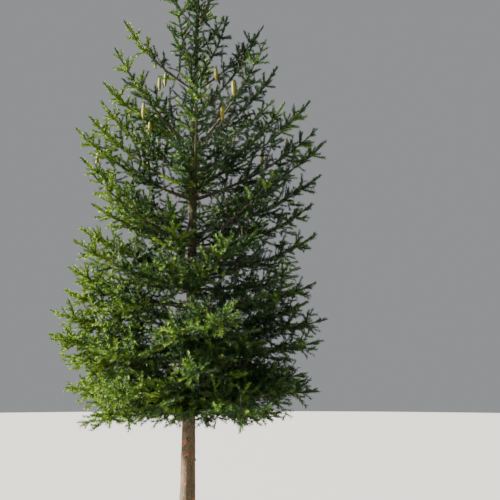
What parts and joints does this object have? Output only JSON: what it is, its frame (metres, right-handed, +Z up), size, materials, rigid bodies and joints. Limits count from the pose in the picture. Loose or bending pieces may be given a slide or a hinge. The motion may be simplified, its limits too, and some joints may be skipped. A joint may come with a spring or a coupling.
{
  "type": "norway spruce tree",
  "caption": "Young Norway spruce with a straight trunk cleared of boughs at its foot, tiers of needled boughs and hanging cones, rooted in the ground.",
  "frame": {"origin": "middle of the flat cut under the trunk, at ground level", "axes": "+Z up along the trunk, -Y towards the side that the picture shows, +X to the right of that view"},
  "size_m": [2.5123, 2.5579, 6.4],
  "materials": {
    "trunk_bark": "thin scaly grey-brown bark with resin streaks and pale healed knots",
    "limb_bark": "fine brown bark, orange-brown on the youngest twigs",
    "needles": "short stiff needles, yellow-green in the light and dark green within, slight gloss",
    "cones": "ripening scaly cones, yellow-green to tan"
  },
  "bodies": {
    "root": {"trunk": "trunk_bark", "leader": "needles", "foliage_1_1": "needles", "foliage_1_2": "needles", "foliage_1_3": "needles", "foliage_2_1": "needles", "foliage_2_2": "needles", "foliage_2_3": "needles", "foliage_3_1": "needles", "foliage_3_2": "needles", "foliage_3_3": "needles", "foliage_3_4": "needles", "bough_4_1": "limb_bark", "foliage_4_1": "needles", "bough_4_2": "limb_bark", "foliage_4_2": "needles", "bough_4_3": "limb_bark", "foliage_4_3": "needles", "bough_4_4": "limb_bark", "foliage_4_4": "needles", "bough_5_1": "limb_bark", "foliage_5_1": "needles", "bough_5_2": "limb_bark", "foliage_5_2": "needles", "bough_5_3": "limb_bark", "foliage_5_3": "needles", "bough_5_4": "limb_bark", "foliage_5_4": "needles", "bough_6_1": "limb_bark", "foliage_6_1": "needles", "bough_6_2": "limb_bark", "foliage_6_2": "needles", "bough_6_3": "limb_bark", "foliage_6_3": "needles", "bough_6_4": "limb_bark", "foliage_6_4": "needles", "bough_7_1": "limb_bark", "foliage_7_1": "needles", "bough_7_2": "limb_bark", "foliage_7_2": "needles", "bough_7_3": "limb_bark", "foliage_7_3": "needles", "bough_7_4": "limb_bark", "foliage_7_4": "needles", "bough_8_1": "limb_bark", "foliage_8_1": "needles", "bough_8_2": "limb_bark", "foliage_8_2": "needles", "bough_8_3": "limb_bark", "foliage_8_3": "needles", "bough_8_4": "limb_bark", "foliage_8_4": "needles", "bough_9_1": "limb_bark", "foliage_9_1": "needles", "bough_9_2": "limb_bark", "foliage_9_2": "needles", "bough_9_3": "limb_bark", "foliage_9_3": "needles", "bough_9_4": "limb_bark", "foliage_9_4": "needles"}
  },
  "joints": []
}
